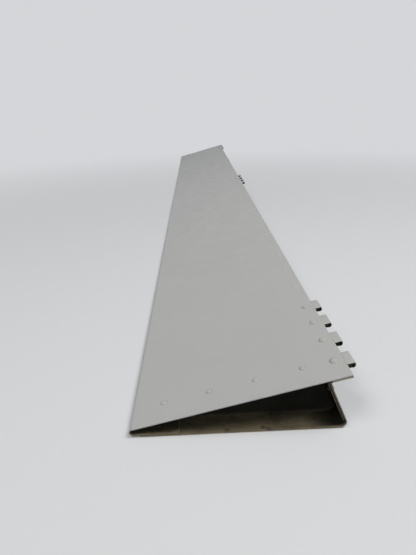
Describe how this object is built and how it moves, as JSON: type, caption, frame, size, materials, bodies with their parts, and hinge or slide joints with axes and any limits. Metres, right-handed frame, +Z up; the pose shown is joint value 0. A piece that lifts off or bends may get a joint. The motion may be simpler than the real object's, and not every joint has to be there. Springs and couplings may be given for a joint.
{
  "type": "trim tab",
  "caption": "Long wedge-section riveted sheet-metal tab with hinge segments along its leading edge, open knuckles and end ribs set in from square ends.",
  "frame": {"origin": "on the hinge axis at mid-span, in the middle hinge segment", "axes": "+Y along the hinge axis and the span, +X forward past the hinge, +Z up with the lower skin level"},
  "size_m": [0.1441, 1.343, 0.0423],
  "materials": {
    "white_paint": "satin white paint, slightly soiled",
    "painted_hinge": "satin white paint over an extruded hinge",
    "painted_rivets": "rivets painted over with the skin",
    "primed_sheet": "dull tan primer with dirt"
  },
  "bodies": {
    "root": {"upper_skin": "white_paint", "lower_skin": "white_paint", "spar": "primed_sheet", "near_end_rib": "primed_sheet", "far_end_rib": "primed_sheet", "near_hinge_leaf": "painted_hinge", "middle_hinge_leaf": "painted_hinge", "far_hinge_leaf": "painted_hinge", "near_hinge_rivets": "painted_rivets", "middle_hinge_rivets": "painted_rivets", "far_hinge_rivets": "painted_rivets", "front_edge_rivets_near_bay": "painted_rivets", "front_edge_rivets_far_bay": "painted_rivets", "near_rib_top_rivets": "painted_rivets", "far_rib_top_rivets": "painted_rivets", "near_rib_bottom_rivets": "painted_rivets", "far_rib_bottom_rivets": "painted_rivets", "near_rib_front_rivets": "painted_rivets", "far_rib_front_rivets": "painted_rivets", "front_seam_rivets": "painted_rivets", "trailing_lap_rivets": "painted_rivets"}
  },
  "joints": []
}
